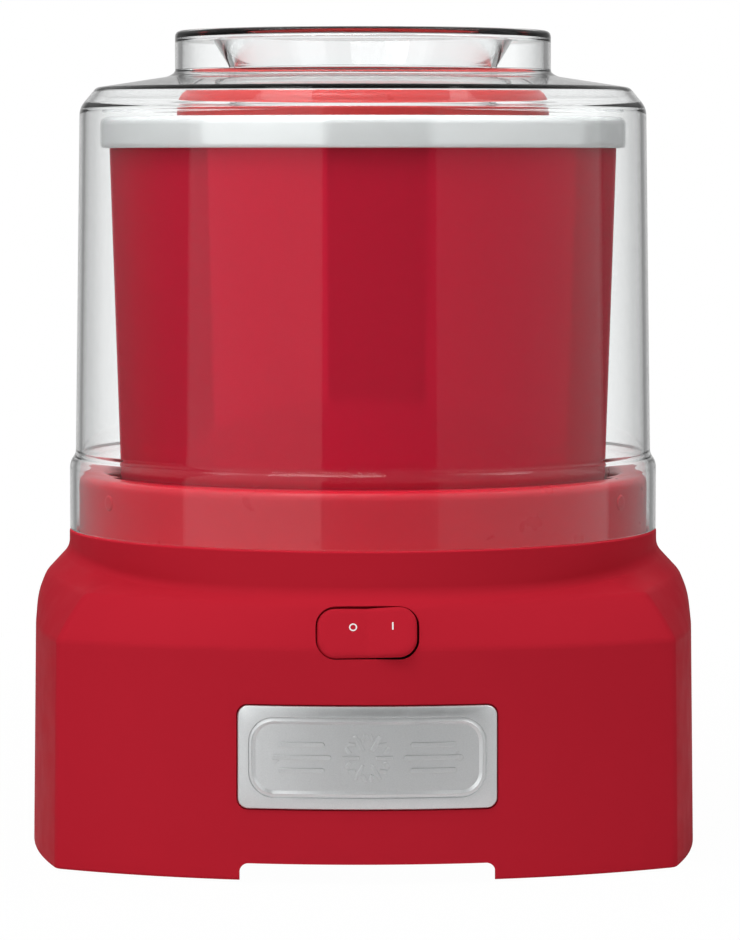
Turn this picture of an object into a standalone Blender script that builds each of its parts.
"""Countertop ice cream maker with a turning freezer bowl, built piece by piece.

Metres, +Z up, the front faces -Y. The origin is on the table, on the bowl's axis.
The clear lid, the paddle and the bowl lift off upwards. A small motor turns the bowl
through three pairs of gears, and a rocker on the front switches it.
"""

import math

import bmesh
import bpy
from mathutils import Matrix, Vector
from mathutils.geometry import convex_hull_2d

GAP = 0.0003  # between pieces that touch on the real object
TURN_STEPS = 36  # facets round the large turned pieces
SMALL_STEPS = 12  # facets round pins, screws and holes

# Base: a bowed rectangle in plan, with a round neck on top
BASE_DEPTH = 0.1164  # axis to the middle of the front face, at the foot
BASE_WIDTH = 0.1173  # axis to the middle of a side face, at the foot
FRONT_BOW = 0.199  # radius of the front and back faces in plan
SIDE_BOW = 0.327  # radius of the side faces in plan
BASE_WALL = 0.0026
DRAFT = 0.0010  # how far the walls lean in between the foot and the brow edge
SKIRT_Z = 0.0010  # the skirt clears the table, and the feet carry the weight
EDGE_Z = 0.0790  # where the upright walls turn into the sloping shoulder
BROW_Z = 0.0925  # where the steep shoulder turns into the flat top
BROW_RISE = 0.0030  # how much higher the brow is at the sides
NECK_FOOT_Z = 0.0960
NECK_FOOT_RISE = 0.0082
NECK_RADIUS = 0.1045
NECK_BORE = 0.1017
LEDGE_Z = 0.1105  # top of the neck, which the lid stands on
FRONT_STEPS = 12
SIDE_STEPS = 8
ARCH_HALF_WIDTH = 0.0428
ARCH_TOP = 0.0068
POST_PLACES = [(sx * 0.086, sy * 0.066) for sx in (-1, 1) for sy in (-1, 1)]
FOOT_PLACES = [(sx * 0.070, sy * 0.084) for sx in (-1, 1) for sy in (-1, 1)]
COVER_Z = 0.0075  # underside of the bottom cover
COVER_TOP = 0.0100

# Well: the cup that the bowl turns in. Its collar stands up inside the lid
COLLAR_TOP = 0.1305
COLLAR_RADIUS = 0.1010
WELL_MOUTH = 0.0906
WELL_FLOOR = 0.0950
LUG_Z = 0.1230
LUG_RADIUS = 0.0029
LUG_ANGLES = (math.radians(-150), math.radians(-30), math.radians(90))

# Freezer bowl
BOWL_BOTTOM = 0.0980
BOWL_FOOT_RADIUS = 0.0852
BOWL_TOP_RADIUS = 0.0899
BOWL_WALL = 0.0020
RIM_RADIUS = 0.0932
RIM_BOTTOM = 0.2455
RIM_TOP = 0.2566
LINER_TOP_RADIUS = 0.0745
LINER_FOOT_RADIUS = 0.0700
LINER_FLOOR = 0.1225
SOCKET_TOP = 0.1110

# Paddle
PADDLE_RADIUS = 0.0660
PADDLE_BORE = 0.0530
PADDLE_TOP = 0.2670

# Lid
LID_TOP = 0.2870
LID_WALL = 0.0020
LID_SKIRT_RADIUS = 0.1043
SPOUT_RADIUS = 0.0666

# Gear train, in the gearbox under the well
PRESSURE_ANGLE = math.radians(25)
WHEEL_TEETH = 48
PINION_TEETH = 12
FINE_MODULE = 0.0010
COARSE_MODULE = 0.0015
BACKLASH = 0.00012
TRAY_Z = 0.0610
TRAY_WALL = 0.0025
GEARBOX_TOP = 0.0905
COVER_THICKNESS = 0.0020
GEARBOX_SCREWS = [(0.044, -0.028), (-0.044, -0.028), (0.031, 0.060), (-0.063, 0.046)]
MOTOR_CENTRE = Vector((0.0, 0.050))
MOTOR_SCREW_OFFSET = 0.0202
GEAR_2_ANGLE = math.radians(150)  # from the bowl's axis to the second gear
SHAFT_RADIUS = 0.0050
ARBOR_RADIUS = 0.0020
MOTOR_SHAFT_RADIUS = 0.0025

# Rocker switch, square to the sloping shoulder
SWITCH_Z = 0.0846
SWITCH_TILT = math.atan2(BROW_Z - EDGE_Z, 0.0061)
ROCKER_SIZE = (0.0336, 0.0175)
ROCKER_HOLE = (0.0348, 0.0183)
ROCKER_TILT = math.radians(-4.5)
PIVOT_DEPTH = 0.0040

# Badge plate on the front face
BADGE_SIZE = (0.0878, 0.0347)
BADGE_Z = 0.0426
BADGE_SINK = 0.0010
BADGE_PROUD = 0.0007

GROMMET_Z = 0.0200


# --- helpers ---------------------------------------------------------------------------


def clear_scene():
    for obj in list(bpy.data.objects):
        bpy.data.objects.remove(obj)


def material(name, colour, roughness, metallic=0.0, alpha=1.0):
    """A Principled material, made once and then shared."""
    found = bpy.data.materials.get(name)
    if found:
        return found
    made = bpy.data.materials.new(name)
    made.use_nodes = True
    shader = made.node_tree.nodes["Principled BSDF"]
    shader.inputs["Base Color"].default_value = (*colour, 1.0)
    shader.inputs["Roughness"].default_value = roughness
    shader.inputs["Metallic"].default_value = metallic
    shader.inputs["Alpha"].default_value = alpha
    made.diffuse_color = (*colour, alpha)
    return made


def red_plastic():
    return material("red_plastic", (0.42, 0.014, 0.027), 0.38)


def clear_plastic():
    return material("clear_plastic", (0.92, 0.94, 0.95), 0.05, alpha=0.3)


def silver_plastic():
    return material("silver_plastic", (0.62, 0.64, 0.65), 0.35)


def satin_metal():
    return material("satin_metal", (0.60, 0.61, 0.62), 0.35, 1.0)


def aluminium():
    return material("aluminium", (0.78, 0.79, 0.80), 0.30, 1.0)


def steel():
    return material("steel", (0.55, 0.56, 0.58), 0.30, 1.0)


def nylon():
    return material("nylon", (0.85, 0.84, 0.78), 0.45)


def black_plastic():
    return material("black_plastic", (0.03, 0.03, 0.03), 0.50)


def rubber():
    return material("rubber", (0.05, 0.05, 0.05), 0.80)


def bronze():
    return material("bronze", (0.55, 0.36, 0.16), 0.40, 1.0)


def copper_wire():
    return material("copper_wire", (0.60, 0.24, 0.10), 0.35, 1.0)


def gel():
    return material("gel", (0.20, 0.45, 0.70), 0.30)


def object_from(bm, name, finish, location=(0, 0, 0), smooth=True):
    """Closes the bmesh into an object with outward normals."""
    bmesh.ops.recalc_face_normals(bm, faces=bm.faces)
    mesh = bpy.data.meshes.new(name)
    bm.to_mesh(mesh)
    bm.free()
    if smooth:
        mesh.shade_smooth()
        mesh.set_sharp_from_angle(angle=math.radians(35))
    obj = bpy.data.objects.new(name, mesh)
    obj.location = location
    if finish:
        mesh.materials.append(finish)
    bpy.context.scene.collection.objects.link(obj)
    return obj


def combine(target, tool, operation):
    """Adds tool to target, or cuts it away, and hides the tool."""
    tool.hide_render = True
    tool.display_type = "WIRE"
    modifier = target.modifiers.new(tool.name, "BOOLEAN")
    modifier.operation = operation
    modifier.solver = "EXACT"
    modifier.object = tool


def cut(target, tool):
    combine(target, tool, "DIFFERENCE")


def join(target, tool):
    combine(target, tool, "UNION")


def turned_bmesh(profile, steps):
    """A closed (radius, height) outline spun round Z. Points on the axis become poles."""
    bm = bmesh.new()
    verts = [bm.verts.new((r, 0, z)) for r, z in profile]
    for a, b in zip(verts, verts[1:] + verts[:1]):
        if a.co.x > 0 or b.co.x > 0:
            bm.edges.new((a, b))
    bmesh.ops.spin(
        bm,
        geom=bm.verts[:] + bm.edges[:],
        cent=(0, 0, 0),
        axis=(0, 0, 1),
        angle=2 * math.pi,
        steps=steps,
        use_merge=True,
    )
    bmesh.ops.remove_doubles(bm, verts=bm.verts, dist=1e-6)
    return bm


def turned(name, profile, finish, steps=TURN_STEPS, location=(0, 0, 0)):
    return object_from(turned_bmesh(profile, steps), name, finish, location)


def prism_bmesh(outline, bottom, top):
    """A flat outline, given counterclockwise, extruded from bottom to top."""
    bm = bmesh.new()
    base = bm.faces.new([bm.verts.new((x, y, bottom)) for x, y in outline])
    grown = bmesh.ops.extrude_face_region(bm, geom=[base])["geom"]
    raised = [v for v in grown if isinstance(v, bmesh.types.BMVert)]
    bmesh.ops.translate(bm, verts=raised, vec=(0, 0, top - bottom))
    return bm


def prism(name, outline, bottom, top, finish=None, location=(0, 0, 0)):
    return object_from(prism_bmesh(outline, bottom, top), name, finish, location)


def circle(radius, steps=SMALL_STEPS, centre=(0, 0)):
    return [
        (
            centre[0] + radius * math.cos(2 * math.pi * k / steps),
            centre[1] + radius * math.sin(2 * math.pi * k / steps),
        )
        for k in range(steps)
    ]


def rectangle(half_x, half_y, centre=(0, 0)):
    cx, cy = centre
    return [
        (cx - half_x, cy - half_y),
        (cx + half_x, cy - half_y),
        (cx + half_x, cy + half_y),
        (cx - half_x, cy + half_y),
    ]


def rounded_rectangle(half_x, half_y, radius, steps=4):
    """Counterclockwise outline with round corners, starting at the +X, -Y corner."""
    points = []
    for quarter, (sx, sy) in enumerate(((1, -1), (1, 1), (-1, 1), (-1, -1))):
        for k in range(steps + 1):
            angle = math.pi / 2 * (quarter - 1 + k / steps)
            points.append(
                (
                    sx * (half_x - radius) + radius * math.cos(angle),
                    sy * (half_y - radius) + radius * math.sin(angle),
                )
            )
    return points


def merge_bmesh(parts):
    """Several separate solids in one bmesh."""
    whole = bmesh.new()
    for part in parts:
        mesh = bpy.data.meshes.new("part")
        part.to_mesh(mesh)
        part.free()
        whole.from_mesh(mesh)
        bpy.data.meshes.remove(mesh)
    return whole


def pins_at(name, places, radius, bottom, top, finish=None):
    """One object that holds an upright round bar at each place."""
    bars = [prism_bmesh(circle(radius, centre=p), bottom, top) for p in places]
    return object_from(merge_bmesh(bars), name, finish)


def screws(name, places, head, shank):
    """Pan head screws standing head down. head and shank are (radius, bottom, top)."""
    head_radius, head_bottom, head_top = head
    shank_radius, _, shank_top = shank
    profile = [
        (0, head_bottom),
        (head_radius * 0.8, head_bottom),
        (head_radius, head_bottom + 0.0008),
        (head_radius, head_top),
        (shank_radius, head_top),
        (shank_radius, shank_top),
        (0, shank_top),
    ]
    for k, (x, y) in enumerate(places, 1):
        turned(f"{name}_{k}", profile, steel(), 12, (x, y, 0))


# --- base ------------------------------------------------------------------------------


def base_corner(inset):
    """Where the front arc meets the +X side arc, both moved in by inset."""
    front_centre = Vector((0, FRONT_BOW - BASE_DEPTH))
    side_centre = Vector((BASE_WIDTH - SIDE_BOW, 0))
    front_radius, side_radius = FRONT_BOW - inset, SIDE_BOW - inset
    between = side_centre - front_centre
    length = between.length
    along = (front_radius**2 - side_radius**2 + length**2) / (2 * length)
    across = math.sqrt(front_radius**2 - along**2)
    unit = between / length
    normal = Vector((-unit.y, unit.x))
    crossings = [front_centre + along * unit + s * across * normal for s in (-1, 1)]
    return max(crossings, key=lambda p: p.x - p.y)


def arc(centre, radius, start, end, steps):
    """Points from start to end, without the end point."""
    return [
        (
            centre[0] + radius * math.cos(start + (end - start) * k / steps),
            centre[1] + radius * math.sin(start + (end - start) * k / steps),
        )
        for k in range(steps)
    ]


def base_outline(inset):
    """The bowed rectangle, counterclockwise from the +X, -Y corner."""
    corner = base_corner(inset)
    side_centre = (BASE_WIDTH - SIDE_BOW, 0)
    front_centre = (0, FRONT_BOW - BASE_DEPTH)
    side_half = math.atan2(-corner.y, corner.x - side_centre[0])
    front_half = math.atan2(corner.x, front_centre[1] - corner.y)
    side = arc(side_centre, SIDE_BOW - inset, -side_half, side_half, SIDE_STEPS)
    back_centre = (0, -front_centre[1])
    start = math.pi / 2 - front_half
    back = arc(back_centre, FRONT_BOW - inset, start, math.pi - start, FRONT_STEPS)
    half = side + back
    return half + [(-x, -y) for x, y in half]


def ring(outline, height):
    return [Vector((x, y, height)) for x, y in outline]


def sideness(x, y):
    """0 on the front and back centrelines, 1 on the side centrelines."""
    return abs(x) / math.hypot(x, y)


def brow_ring(drop):
    """The edge between the steep shoulder and the flat top, lowered and moved in by drop."""
    points = []
    for x, y in base_outline(DRAFT):
        side = sideness(x, y)
        corner = (2 * side * math.sqrt(1 - side * side)) ** 2
        lean = 0.0061 + 0.0079 * corner - 0.0026 * side**2
        scale = 1 - (lean + drop) / math.hypot(x, y)
        points.append(Vector((x * scale, y * scale, BROW_Z + BROW_RISE * side**2 - drop)))
    return points


def neck_ring(radius, above_foot=None, height=None):
    """A ring of the neck, level at height, or following the neck's curved foot."""
    points = []
    for x, y in base_outline(DRAFT):
        scale = radius / math.hypot(x, y)
        foot = NECK_FOOT_Z + NECK_FOOT_RISE * sideness(x, y) ** 6
        z = height if height is not None else foot + above_foot
        points.append(Vector((x * scale, y * scale, z)))
    return points


def between_rings(lower, upper, share, bulge):
    """A ring part way up the shoulder, pushed out by up to bulge at the sides."""
    points = []
    for a, b in zip(lower, upper):
        point = a.lerp(b, share)
        out = Vector((point.x, point.y, 0)).normalized()
        points.append(point + out * bulge * (0.2 + 0.8 * sideness(point.x, point.y) ** 2))
    return points


def bridge_rings(rings):
    """Quads between each ring and the next, and from the last back to the first."""
    bm = bmesh.new()
    loops = [[bm.verts.new(p) for p in points] for points in rings]
    count = len(loops[0])
    for low, high in zip(loops, loops[1:] + loops[:1]):
        for k in range(count):
            n = (k + 1) % count
            bm.faces.new((low[k], low[n], high[n], high[k]))
    return bm


def make_base_housing():
    edge = ring(base_outline(DRAFT), EDGE_Z)
    brow = brow_ring(0)
    rings = [
        ring(base_outline(0.0010), SKIRT_Z),
        ring(base_outline(0), SKIRT_Z + 0.0010),
        ring(base_outline(DRAFT), EDGE_Z - 0.0010),
        between_rings(edge, brow, 0.07, 0.0002),
        between_rings(edge, brow, 0.55, 0.0014),
        brow,
        neck_ring(NECK_RADIUS + 0.0015, above_foot=0),
        neck_ring(NECK_RADIUS, above_foot=0.0015),
        neck_ring(NECK_RADIUS, height=LEDGE_Z - 0.0006),
        neck_ring(NECK_RADIUS - 0.0006, height=LEDGE_Z),
        neck_ring(NECK_BORE, height=LEDGE_Z),
        neck_ring(NECK_BORE, above_foot=-0.0035),
        brow_ring(BASE_WALL),
        ring(base_outline(DRAFT + BASE_WALL), EDGE_Z - 0.0010),
        ring(base_outline(BASE_WALL), SKIRT_Z),
    ]
    housing = object_from(bridge_rings(rings), "base_housing", red_plastic())
    join(housing, pins_at("post_tool", POST_PLACES, 0.0045, COVER_TOP + GAP, 0.0952))
    cut(housing, pins_at("post_hole_tool", POST_PLACES, 0.0019, 0.005, 0.0210))
    arch = prism(
        "arch_tool", rounded_rectangle(ARCH_HALF_WIDTH, ARCH_TOP, 0.0030), -0.13, 0.13
    )
    arch.rotation_euler.x = math.radians(90)
    cut(housing, arch)
    cut(housing, rocker_hole_tool())
    cut(housing, badge_plate_on_front("badge_recess_tool", 0.0003, -BADGE_SINK, 0.004))
    cord_hole = prism("cord_hole_tool", circle(0.0060), 0.100, 0.130)
    cord_hole.rotation_euler.x = math.radians(-90)
    cord_hole.location = (0, 0, GROMMET_Z)
    cut(housing, cord_hole)


def make_bottom_cover():
    outline = base_outline(BASE_WALL + 0.0005)
    cover = prism("bottom_cover", outline, COVER_Z, COVER_TOP, black_plastic())
    slots = [
        prism_bmesh(rectangle(0.016, 0.0016, (x, 0.012 + 0.009 * k)), 0.005, 0.013)
        for x in (-0.024, 0.024)
        for k in range(9)
    ]
    cut(cover, object_from(merge_bmesh(slots), "vent_tool", None))
    cut(cover, pins_at("cover_hole_tool", POST_PLACES, 0.0019, 0.005, 0.013))
    screws(
        "bottom_screw", POST_PLACES, (0.0035, 0.0050, COVER_Z - GAP), (0.0016, 0, 0.0190)
    )


def make_feet():
    height = COVER_Z - GAP
    profile = [(0, 0), (0.0080, 0), (0.0088, 0.0008), (0.0080, height), (0, height)]
    for k, (x, y) in enumerate(FOOT_PLACES, 1):
        turned(f"foot_{k}", profile, rubber(), 24, (x, y, 0))


def badge_plate_on_front(name, grow, low, high, finish=None):
    """A round-cornered plate bent to the front face, from low to high above it."""
    half_x, half_z = BADGE_SIZE[0] / 2 + grow, BADGE_SIZE[1] / 2 + grow
    lean = math.atan2(DRAFT, EDGE_Z - SKIRT_Z)
    face = FRONT_BOW - DRAFT * (BADGE_Z - SKIRT_Z) / (EDGE_Z - SKIRT_Z)
    bm = bmesh.new()
    columns = 12
    stations = []
    for k in range(columns + 1):
        x = half_x * (2 * k / columns - 1)
        corner = max(0.0, abs(x) - (half_x - 0.0035))
        stations.append((x, half_z - 0.0035 + math.sqrt(max(0.0, 0.0035**2 - corner**2))))
    loops = []
    for offset in (low, high):
        radius = face + offset
        points = []
        for x, z in stations + [(x, -z) for x, z in reversed(stations)]:
            angle = x / FRONT_BOW
            y = FRONT_BOW - BASE_DEPTH - radius * math.cos(angle) + z * math.tan(lean)
            points.append(bm.verts.new((radius * math.sin(angle), y, BADGE_Z + z)))
        loops.append(points)
    count = len(loops[0])
    for k in range(count):
        n = (k + 1) % count
        bm.faces.new((loops[0][k], loops[0][n], loops[1][n], loops[1][k]))
    for loop in loops:
        for k in range(columns):
            bm.faces.new((loop[k], loop[k + 1], loop[count - 2 - k], loop[count - 1 - k]))
    return object_from(bm, name, finish)


def make_badge():
    badge_plate_on_front("badge_plate", 0, GAP - BADGE_SINK, BADGE_PROUD, satin_metal())


def make_grommet():
    back = BASE_DEPTH + 0.0007
    profile = [
        (0.0040, back),
        (0.0080, back),
        (0.0086, BASE_DEPTH + GAP),
        (0.0056, BASE_DEPTH + GAP),
        (0.0056, BASE_DEPTH - BASE_WALL - DRAFT - GAP),
        (0.0082, BASE_DEPTH - BASE_WALL - DRAFT - GAP),
        (0.0074, BASE_DEPTH - 0.0080),
        (0.0040, BASE_DEPTH - 0.0080),
    ]
    grommet = turned("cord_grommet", profile, black_plastic(), 20)
    grommet.rotation_euler.x = math.radians(-90)
    grommet.location = (0, 0, GROMMET_Z)


# --- well ------------------------------------------------------------------------------


def make_bowl_well():
    floor_under = WELL_FLOOR - 0.0025
    profile = [
        (COLLAR_RADIUS, 0.0970),
        (COLLAR_RADIUS, COLLAR_TOP - 0.0012),
        (COLLAR_RADIUS - 0.0012, COLLAR_TOP),
        (WELL_MOUTH + 0.0008, COLLAR_TOP),
        (WELL_MOUTH, COLLAR_TOP - 0.0008),
        (0.0880, WELL_FLOOR + 0.0020),
        (0.0860, WELL_FLOOR),
        (0.0130, WELL_FLOOR),
        (0.0130, floor_under),
        (0.0870, floor_under),
        (0.0905, WELL_FLOOR + 0.0010),
        (0.0931, COLLAR_TOP - 0.0026),
        (0.0984, COLLAR_TOP - 0.0026),
        (0.0984, 0.0970),
    ]
    well = turned("bowl_well", profile, red_plastic())
    lugs = []
    for angle in LUG_ANGLES:
        bm = prism_bmesh(circle(LUG_RADIUS, 12), 0.0995, 0.1016)
        turn = Matrix.Rotation(angle, 4, "Z") @ Matrix.Rotation(math.radians(90), 4, "Y")
        bm.transform(Matrix.Translation((0, 0, LUG_Z)) @ turn)
        lugs.append(bm)
    join(well, object_from(merge_bmesh(lugs), "lug_tool", None))
    bosses = pins_at("well_boss_tool", GEARBOX_SCREWS, 0.0045, 0.0908, 0.0935)
    join(well, bosses)
    cut(well, pins_at("well_hole_tool", GEARBOX_SCREWS, 0.0020, 0.0900, 0.0939))


# --- gears and drive -------------------------------------------------------------------


def gear_outline(teeth, module, phase):
    """Involute teeth with straight chords, one tooth centred on the phase angle."""
    pitch = module * teeth / 2
    base = pitch * math.cos(PRESSURE_ANGLE)
    root, tip = pitch - 1.2 * module, pitch + 0.95 * module
    flank = [root, tip] if root > base else [root, base, pitch, tip]
    half_at_pitch = math.pi / (2 * teeth) - BACKLASH / (2 * pitch)

    def involute(angle):
        return math.tan(angle) - angle

    def half_angle(radius):
        turned_by = math.acos(min(1.0, base / radius))
        return half_at_pitch + involute(PRESSURE_ANGLE) - involute(turned_by)

    points = []
    for k in range(teeth):
        centre = phase + 2 * math.pi * k / teeth
        rising = [(r, centre - half_angle(r)) for r in flank]
        falling = [(r, centre + half_angle(r)) for r in reversed(flank)]
        points += [(r * math.cos(a), r * math.sin(a)) for r, a in rising + falling]
    return points


def make_gear(name, centre, levels, bore, finish):
    """levels is a list of (teeth, module, bottom, top, phase). They overlap a little."""
    teeth, module, bottom, top, phase = levels[0]
    outline = gear_outline(teeth, module, phase)
    gear = prism(name, outline, bottom, top, finish, (*centre, 0))
    for teeth, module, low, high, phase in levels[1:]:
        outline = gear_outline(teeth, module, phase)
        tool = prism(f"{name}_pinion_tool", outline, low, high, location=(*centre, 0))
        join(gear, tool)
    cut(gear, prism(f"{name}_bore_tool", circle(bore), 0.05, 0.10, location=(*centre, 0)))
    return gear


def angle_from(a, b):
    return math.atan2(b.y - a.y, b.x - a.x)


def facing(angle, teeth):
    """Phase of a gear whose tooth space faces back along angle."""
    return angle + math.pi + math.pi / teeth


def gear_centres():
    """The two intermediate gears' axes, each a gear pair away from its neighbours."""
    coarse = COARSE_MODULE * (WHEEL_TEETH + PINION_TEETH) / 2
    fine = FINE_MODULE * (WHEEL_TEETH + PINION_TEETH) / 2
    second = coarse * Vector((math.cos(GEAR_2_ANGLE), math.sin(GEAR_2_ANGLE)))
    span = MOTOR_CENTRE - second
    height = math.sqrt(fine**2 - (span.length / 2) ** 2)
    across = Vector((-span.y, span.x)).normalized()
    first = second + span / 2 + across * height
    return first, second


def make_gear_train():
    axis = Vector((0, 0))
    first, second = gear_centres()
    to_second, to_first = angle_from(axis, second), angle_from(second, first)
    to_motor = angle_from(first, MOTOR_CENTRE)
    make_gear(
        "output_gear",
        axis,
        [(WHEEL_TEETH, COARSE_MODULE, 0.0780, 0.0860, to_second)],
        SHAFT_RADIUS + GAP,
        nylon(),
    )
    make_gear(
        "second_gear",
        second,
        [
            (WHEEL_TEETH, FINE_MODULE, 0.0700, 0.0750, to_first),
            (PINION_TEETH, COARSE_MODULE, 0.0740, 0.0865, facing(to_second, PINION_TEETH)),
        ],
        ARBOR_RADIUS + GAP,
        nylon(),
    )
    make_gear(
        "first_gear",
        first,
        [
            (WHEEL_TEETH, FINE_MODULE, 0.0655, 0.0688, to_motor),
            (PINION_TEETH, FINE_MODULE, 0.0680, 0.0755, facing(to_first, PINION_TEETH)),
        ],
        ARBOR_RADIUS + GAP,
        nylon(),
    )
    make_gear(
        "motor_pinion",
        MOTOR_CENTRE,
        [(PINION_TEETH, FINE_MODULE, 0.0650, 0.0693, facing(to_motor, PINION_TEETH))],
        MOTOR_SHAFT_RADIUS + GAP,
        bronze(),
    )
    for label, centre in (("first", first), ("second", second)):
        arbor = circle(ARBOR_RADIUS, 16)
        prism(f"{label}_arbor", arbor, 0.0625, 0.0898, steel(), (*centre, 0))


def gearbox_outline(inset):
    """One taut outline round the gears and the screw posts."""
    first, second = gear_centres()
    rounds = [((0, 0), 0.0415), (second, 0.0290), (first, 0.0290)]
    rounds += [(place, 0.0075) for place in GEARBOX_SCREWS]
    points = [p for centre, radius in rounds for p in circle(radius - inset, 24, centre)]
    return [points[k] for k in convex_hull_2d(points)]


def make_gearbox():
    first, second = gear_centres()
    rim = GEARBOX_TOP - COVER_THICKNESS - GAP
    tray = prism("gearbox_tray", gearbox_outline(0), TRAY_Z, rim, black_plastic())
    hollow = gearbox_outline(TRAY_WALL)
    cut(tray, prism("tray_hollow_tool", hollow, TRAY_Z + TRAY_WALL, rim + 0.01))
    join(tray, pins_at("tray_post_tool", GEARBOX_SCREWS, 0.0042, TRAY_Z + 0.001, rim))
    motor_screws = motor_screw_places()
    join(tray, pins_at("motor_post_tool", motor_screws, 0.0045, 0.0546, TRAY_Z + 0.001))
    cut(tray, pins_at("tray_screw_tool", GEARBOX_SCREWS, 0.0020, 0.050, 0.095))
    cut(tray, pins_at("motor_hole_tool", motor_screws, 0.0020, 0.050, 0.0600))
    arbors = [tuple(first), tuple(second)]
    cut(tray, pins_at("tray_arbor_tool", arbors, ARBOR_RADIUS + GAP, 0.0622, 0.070))
    motor_hole = [tuple(MOTOR_CENTRE)]
    cut(tray, pins_at("motor_shaft_tool", motor_hole, 0.0055, 0.050, 0.070))
    cut(tray, pins_at("tray_shaft_tool", [(0, 0)], SHAFT_RADIUS + GAP, 0.0618, 0.070))

    outline = gearbox_outline(0)
    low = GEARBOX_TOP - COVER_THICKNESS
    cover = prism("gearbox_cover", outline, low, GEARBOX_TOP, black_plastic())
    cut(cover, pins_at("cover_screw_tool", GEARBOX_SCREWS, 0.0020, 0.080, 0.095))
    cut(cover, pins_at("cover_arbor_tool", arbors, ARBOR_RADIUS + GAP, 0.080, 0.095))
    cut(cover, pins_at("cover_bush_tool", [(0, 0)], 0.0083, 0.080, 0.095))
    screws(
        "gearbox_screw",
        GEARBOX_SCREWS,
        (0.0036, TRAY_Z - 0.0025, TRAY_Z - GAP),
        (0.0017, 0, 0.0936),
    )


def hub_outline(grow):
    """Six round lobes, so that the bowl drops on in any of six places."""
    points = []
    steps = 48
    for k in range(steps):
        angle = 2 * math.pi * k / steps
        radius = 0.0145 + 0.0020 * math.cos(6 * angle) + grow
        points.append((radius * math.cos(angle), radius * math.sin(angle)))
    return points


def make_drive():
    prism("drive_shaft", circle(SHAFT_RADIUS, 24), 0.0621, 0.1060, steel())
    profile = [
        (SHAFT_RADIUS + GAP, 0.0868),
        (0.0100, 0.0868),
        (0.0100, 0.0882),
        (0.0080, 0.0882),
        (0.0080, 0.0919),
        (SHAFT_RADIUS + GAP, 0.0919),
    ]
    turned("drive_bush", profile, bronze(), 24)
    seal = [
        (0.0054, 0.0927),
        (0.0127, 0.0927),
        (0.0127, 0.0945),
        (0.0090, 0.0956),
        (0.0054, 0.0956),
    ]
    turned("shaft_seal", seal, rubber(), 24)
    clip = [(0.0053, 0.0650), (0.0085, 0.0650), (0.0085, 0.0660), (0.0053, 0.0660)]
    turned("shaft_clip", clip, steel(), 24)
    hub = prism("drive_hub", hub_outline(0), 0.0965, 0.1090, nylon())
    hub_bore = circle(SHAFT_RADIUS + GAP, 24)
    cut(hub, prism("hub_bore_tool", hub_bore, 0.090, 0.1065))


# --- motor -----------------------------------------------------------------------------


def motor_screw_places():
    return [
        (MOTOR_CENTRE.x, MOTOR_CENTRE.y + side * MOTOR_SCREW_OFFSET) for side in (-1, 1)
    ]


STACK_Z = (0.0280, 0.0480)
LEG_X = (0.0360, 0.0470)  # the leg that carries the coil


def box_outline(low, high):
    """Rectangle between two corners, moved to the motor's axis."""
    (x0, y0), (x1, y1) = low, high
    ox, oy = MOTOR_CENTRE
    return [(ox + x0, oy + y0), (ox + x1, oy + y0), (ox + x1, oy + y1), (ox + x0, oy + y1)]


def make_stator():
    low, high = STACK_Z
    outline = box_outline((-0.027, -0.024), (LEG_X[1], 0.024))
    stack = prism("stator_stack", outline, low, high, steel())
    cut(stack, prism("window_tool", box_outline((0.020, -0.012), (LEG_X[0], 0.012)), 0, 0.1))
    bore = circle(0.0163, 32, MOTOR_CENTRE)
    cut(stack, prism("stator_bore_tool", bore, 0.01, 0.06))
    cut(stack, pins_at("stack_hole_tool", motor_screw_places(), 0.0020, 0.01, 0.06))


def leg_box(name, margin, half_y, finish=None):
    """A box round the coil's leg, margin larger than it, and half_y to each side."""
    outline = box_outline((LEG_X[0] - margin, -half_y), (LEG_X[1] + margin, half_y))
    return prism(name, outline, STACK_Z[0] - margin, STACK_Z[1] + margin, finish)


def make_coil():
    sleeve = 0.0016
    coil = leg_box("motor_coil", sleeve + 0.0083, 0.0098, copper_wire())
    cut(coil, leg_box("coil_hole_tool", sleeve + GAP, 0.02))
    bobbin = leg_box("coil_bobbin", sleeve, 0.0114, black_plastic())
    for side in (-1, 1):
        flange = leg_box(f"flange_tool_{side}", sleeve + 0.0070, 0.0007)
        flange.location.y = side * 0.0108
        join(bobbin, flange)
    cut(bobbin, leg_box("bobbin_hole_tool", 0.0004, 0.02))


def make_bracket(name, plate, foot):
    """A bridge over one end of the rotor. plate is its outer and foot its inner height."""
    step = 0.0020 if foot < plate else -0.0020
    inner = plate - step
    side = [
        (-0.024, foot),
        (-0.017, foot),
        (-0.017, inner),
        (0.017, inner),
        (0.017, foot),
        (0.024, foot),
        (0.024, plate),
        (-0.024, plate),
    ]
    bm = prism_bmesh(side, -0.0080, 0.0080)
    axes = Matrix(((0, 0, 1, 0), (1, 0, 0, 0), (0, 1, 0, 0), (0, 0, 0, 1)))
    bm.transform(axes)
    bracket = object_from(bm, name, steel(), (*MOTOR_CENTRE, 0))
    middle = circle(0.0053, 20, MOTOR_CENTRE)
    low, high = min(plate, foot) - 0.005, max(plate, foot) + 0.005
    cut(bracket, prism(f"{name}_bearing_tool", middle, low, high))
    cut(bracket, pins_at(f"{name}_hole_tool", motor_screw_places(), 0.0020, low, high))


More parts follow.
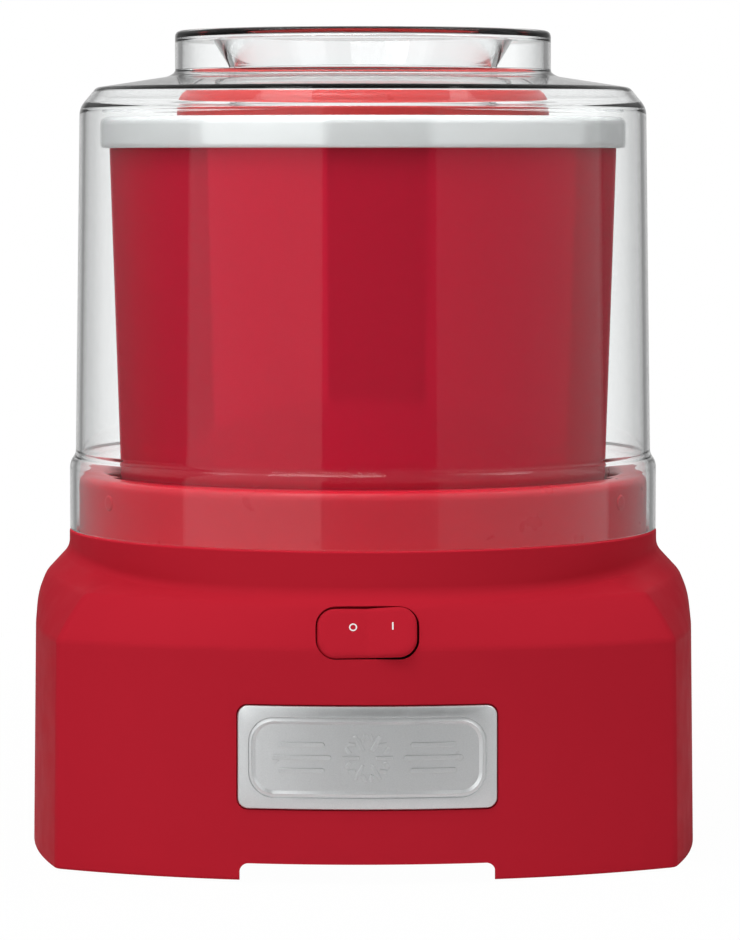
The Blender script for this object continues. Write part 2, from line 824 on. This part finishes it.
def make_motor():
    make_stator()
    make_coil()
    make_bracket("upper_bracket", 0.0540, 0.0483)
    make_bracket("lower_bracket", 0.0220, 0.0277)
    place = (*MOTOR_CENTRE, 0)
    bore = MOTOR_SHAFT_RADIUS + GAP
    for label, low, high in (("upper", 0.0505, 0.0565), ("lower", 0.0200, 0.0260)):
        bush = [(bore, low), (0.0050, low), (0.0050, high), (bore, high)]
        turned(f"{label}_bearing", bush, bronze(), 20, place)
    core = [(bore, STACK_Z[0]), (0.0155, STACK_Z[0]), (0.0155, STACK_Z[1]), (bore, STACK_Z[1])]
    turned("rotor_core", core, steel(), 32, place)
    shaft = circle(MOTOR_SHAFT_RADIUS, 16)
    prism("motor_shaft", shaft, 0.0115, 0.0697, steel(), place)
    make_fan(place, bore)
    screws(
        "motor_screw",
        motor_screw_places(),
        (0.0032, 0.0194, 0.0217),
        (0.0017, 0, 0.0597),
    )


def make_fan(place, bore):
    blades, hub, tip, half = 8, 0.0070, 0.0220, 0.0011
    points = []
    for k in range(blades):
        angle = 2 * math.pi * k / blades
        out = Vector((math.cos(angle), math.sin(angle)))
        side = Vector((-out.y, out.x)) * half
        points += [out * hub - side, out * tip - side, out * tip + side, out * hub + side]
    fan = prism("cooling_fan", [tuple(p) for p in points], 0.0120, 0.0170, nylon(), place)
    cut(fan, prism("fan_bore_tool", circle(bore), 0.005, 0.025, location=place))


# --- switch ----------------------------------------------------------------------------


def switch_frame(depth):
    """Local X to the right, Y up the slope, Z out of it. The origin is depth below it."""
    run = (SWITCH_Z - EDGE_Z) / math.tan(SWITCH_TILT)
    surface = Vector((0, -(BASE_DEPTH - DRAFT) + run, SWITCH_Z))
    out = Vector((0, -math.sin(SWITCH_TILT), math.cos(SWITCH_TILT)))
    return Matrix.Translation(surface - out * depth) @ Matrix.Rotation(SWITCH_TILT, 4, "X")


def rocker_hole_tool():
    outline = rounded_rectangle(ROCKER_HOLE[0] / 2, ROCKER_HOLE[1] / 2, 0.0064)
    tool = prism("rocker_hole_tool", outline, -0.012, 0.012)
    tool.matrix_world = switch_frame(0)
    return tool


def make_switch():
    frame = switch_frame(PIVOT_DEPTH)
    outline = rounded_rectangle(ROCKER_SIZE[0] / 2, ROCKER_SIZE[1] / 2, 0.0060, 5)
    bm = prism_bmesh(outline, 0.0018, PIVOT_DEPTH + 0.0004)
    rocker = object_from(bm, "switch_rocker", red_plastic())
    rocker.matrix_world = frame @ Matrix.Rotation(ROCKER_TILT, 4, "Y")
    lug = prism("rocker_lug_tool", circle(0.0030, 20), -0.0055, 0.0055)
    lug.matrix_world = frame @ Matrix.Rotation(math.radians(90), 4, "X")
    join(rocker, lug)
    pin_hole = prism("rocker_pin_tool", circle(0.0015, 16), -0.02, 0.02)
    pin_hole.matrix_world = lug.matrix_world
    cut(rocker, pin_hole)

    pin = prism("rocker_pin", circle(0.0012, 16), -0.0076, 0.0076, steel())
    pin.matrix_world = lug.matrix_world
    body = prism("switch_body", rectangle(0.0130, 0.0080), -0.0240, -0.0045, black_plastic())
    body.matrix_world = frame
    ears = [
        prism_bmesh(rectangle(0.0030, 0.0009, (0, side * 0.0070)), -0.0050, 0.0015)
        for side in (-1, 1)
    ]
    ear_tool = object_from(merge_bmesh(ears), "switch_ear_tool", None)
    ear_tool.matrix_world = frame
    join(body, ear_tool)
    cut(body, pin_hole)


# --- bowl, paddle, lid -----------------------------------------------------------------


def make_bowl():
    taper = (BOWL_TOP_RADIUS - BOWL_FOOT_RADIUS) / (RIM_BOTTOM - BOWL_BOTTOM)
    shell_top = RIM_TOP - 0.0026
    top_radius = BOWL_TOP_RADIUS + taper * (shell_top - RIM_BOTTOM)
    shell = [
        (0, SOCKET_TOP),
        (0.0205, SOCKET_TOP),
        (0.0205, BOWL_BOTTOM + 0.0006),
        (0.0211, BOWL_BOTTOM),
        (BOWL_FOOT_RADIUS - 0.0030, BOWL_BOTTOM),
        (BOWL_FOOT_RADIUS, BOWL_BOTTOM + 0.0030),
        (top_radius, shell_top),
        (top_radius - BOWL_WALL, shell_top),
        (BOWL_FOOT_RADIUS - BOWL_WALL, BOWL_BOTTOM + 0.0040),
        (BOWL_FOOT_RADIUS - 0.0040, BOWL_BOTTOM + BOWL_WALL),
        (0.0225, BOWL_BOTTOM + BOWL_WALL),
        (0.0225, SOCKET_TOP + BOWL_WALL),
        (0, SOCKET_TOP + BOWL_WALL),
    ]
    bowl_shell = turned("bowl_shell", shell, red_plastic())
    plug_place = (0.050, 0, 0)
    plug_hole = prism("plug_tool", circle(0.0055), 0.09, 0.106, location=plug_place)
    cut(bowl_shell, plug_hole)
    plug_top = BOWL_BOTTOM + BOWL_WALL - 0.0002
    prism("filler_plug", circle(0.0052), BOWL_BOTTOM + 0.0002, plug_top, rubber(), plug_place)

    rim_inner = LINER_TOP_RADIUS + 0.0005
    rim = [
        (RIM_RADIUS - 0.0022, RIM_BOTTOM),
        (RIM_RADIUS - 0.0015, RIM_BOTTOM),
        (RIM_RADIUS, RIM_BOTTOM + 0.0020),
        (RIM_RADIUS, RIM_TOP - 0.0025),
        (RIM_RADIUS - 0.0025, RIM_TOP),
        (rim_inner + 0.0012, RIM_TOP),
        (rim_inner, RIM_TOP - 0.0012),
        (rim_inner, RIM_TOP - 0.0022),
        (RIM_RADIUS - 0.0022, RIM_TOP - 0.0022),
    ]
    turned("bowl_rim", rim, silver_plastic())

    flange = top_radius - BOWL_WALL - 0.0005
    liner = [
        (0, LINER_FLOOR),
        (LINER_FOOT_RADIUS - 0.0040, LINER_FLOOR),
        (LINER_FOOT_RADIUS, LINER_FLOOR + 0.0035),
        (LINER_TOP_RADIUS, RIM_TOP - 0.0026),
        (flange, RIM_TOP - 0.0026),
        (flange, RIM_TOP - 0.0044),
        (LINER_TOP_RADIUS + 0.0018, RIM_TOP - 0.0044),
        (LINER_FOOT_RADIUS + 0.0018, LINER_FLOOR + 0.0030),
        (LINER_FOOT_RADIUS - 0.0030, LINER_FLOOR - 0.0018),
        (0, LINER_FLOOR - 0.0018),
    ]
    turned("bowl_liner", liner, aluminium())

    fill = 0.2360
    outer_foot = BOWL_FOOT_RADIUS - BOWL_WALL - 0.0006
    gel_profile = [
        (0, SOCKET_TOP + BOWL_WALL + 0.0004),
        (0.0230, SOCKET_TOP + BOWL_WALL + 0.0004),
        (0.0230, BOWL_BOTTOM + BOWL_WALL + 0.0004),
        (outer_foot - 0.0022, BOWL_BOTTOM + BOWL_WALL + 0.0004),
        (outer_foot, BOWL_BOTTOM + 0.0050),
        (outer_foot + taper * (fill - BOWL_BOTTOM - 0.0050), fill),
        (LINER_TOP_RADIUS + 0.0018, fill),
        (LINER_FOOT_RADIUS + 0.0023, LINER_FLOOR + 0.0030),
        (LINER_FOOT_RADIUS - 0.0026, LINER_FLOOR - 0.0022),
        (0, LINER_FLOOR - 0.0022),
    ]
    turned("coolant_gel", gel_profile, gel())
    make_drive_socket()


def make_drive_socket():
    """The ring in the bowl's foot whose lobes fit over the drive hub."""
    inner = hub_outline(0.0005)
    outer = circle(0.0202, len(inner))
    low, high = BOWL_BOTTOM + 0.0010, SOCKET_TOP - GAP
    rings = [ring(inner, low), ring(outer, low), ring(outer, high), ring(inner, high)]
    object_from(bridge_rings(rings), "drive_socket", nylon())


def make_paddle():
    profile = [
        (PADDLE_RADIUS - 0.0020, 0.2490),
        (PADDLE_RADIUS, 0.2510),
        (PADDLE_RADIUS, PADDLE_TOP - 0.0065),
        (PADDLE_RADIUS - 0.0022, PADDLE_TOP - 0.0028),
        (PADDLE_RADIUS - 0.0060, PADDLE_TOP - 0.0008),
        (PADDLE_RADIUS - 0.0105, PADDLE_TOP),
        (PADDLE_BORE, PADDLE_TOP - 0.0006),
        (PADDLE_BORE, 0.2490),
    ]
    paddle = turned("paddle", profile, red_plastic())

    foot, shoulder = LINER_FLOOR + 0.0020, 0.2440
    frame_outline = [
        (-0.0660, foot),
        (0.0660, foot),
        (0.0685, foot + 0.0035),
        (0.0722, shoulder),
        (0.0640, 0.2520),
        (0.0560, 0.2520),
        (0.0545, foot + 0.0240),
        (0.0440, foot + 0.0130),
        (-0.0440, foot + 0.0130),
        (-0.0545, foot + 0.0240),
        (-0.0560, 0.2520),
        (-0.0640, 0.2520),
        (-0.0722, shoulder),
        (-0.0685, foot + 0.0035),
    ]
    frame = prism("paddle_frame_tool", frame_outline, -0.0026, 0.0026)
    frame.rotation_euler.x = math.radians(90)
    join(paddle, frame)

    ears = []
    for side in (-1, 1):
        for edge in (-1, 1):
            block = rectangle(0.0050, 0.0018, (side * 0.0490, edge * 0.0086))
            ears.append(prism_bmesh(block, 0.2570, PADDLE_TOP - 0.0018))
    join(paddle, object_from(merge_bmesh(ears), "paddle_ear_tool", None))


def make_lid():
    inner = LID_SKIRT_RADIUS - 0.0021
    profile = [
        (LID_SKIRT_RADIUS, LEDGE_Z + 0.0004),
        (LID_SKIRT_RADIUS, 0.1322),
        (LID_SKIRT_RADIUS - 0.0007, 0.1352),
        (LID_SKIRT_RADIUS - 0.0021, 0.1374),
        (0.1004, 0.2598),
        (0.0945, 0.2669),
        (0.0690, 0.2708),
        (SPOUT_RADIUS + 0.0004, 0.2726),
        (SPOUT_RADIUS, LID_TOP - 0.0020),
        (SPOUT_RADIUS - 0.0020, LID_TOP),
        (0.0534, LID_TOP),
        (0.0520, LID_TOP - 0.0010),
        (0.0450, 0.2745),
        (0.0450, 0.2735),
        (0.0469, 0.2735),
        (0.0538, LID_TOP - 0.0022),
        (SPOUT_RADIUS - 0.0040, LID_TOP - 0.0022),
        (SPOUT_RADIUS - 0.0026, LID_TOP - 0.0036),
        (SPOUT_RADIUS - 0.0024, 0.2705),
        (0.0680, 0.2687),
        (0.0936, 0.2648),
        (0.0984, 0.2590),
        (inner - 0.0020, 0.1370),
        (inner, 0.1336),
        (inner, LEDGE_Z + 0.0004),
    ]
    lid = turned("lid", profile, clear_plastic())
    tabs = [
        prism_bmesh(rectangle(0.0011, 0.0050, (side * 0.0463, 0)), 0.2635, 0.2745)
        for side in (-1, 1)
    ]
    join(lid, object_from(merge_bmesh(tabs), "lid_tab_tool", None))


def main():
    clear_scene()
    make_base_housing()
    make_bottom_cover()
    make_feet()
    make_badge()
    make_grommet()
    make_bowl_well()
    make_gear_train()
    make_gearbox()
    make_drive()
    make_motor()
    make_switch()
    make_bowl()
    make_paddle()
    make_lid()


main()
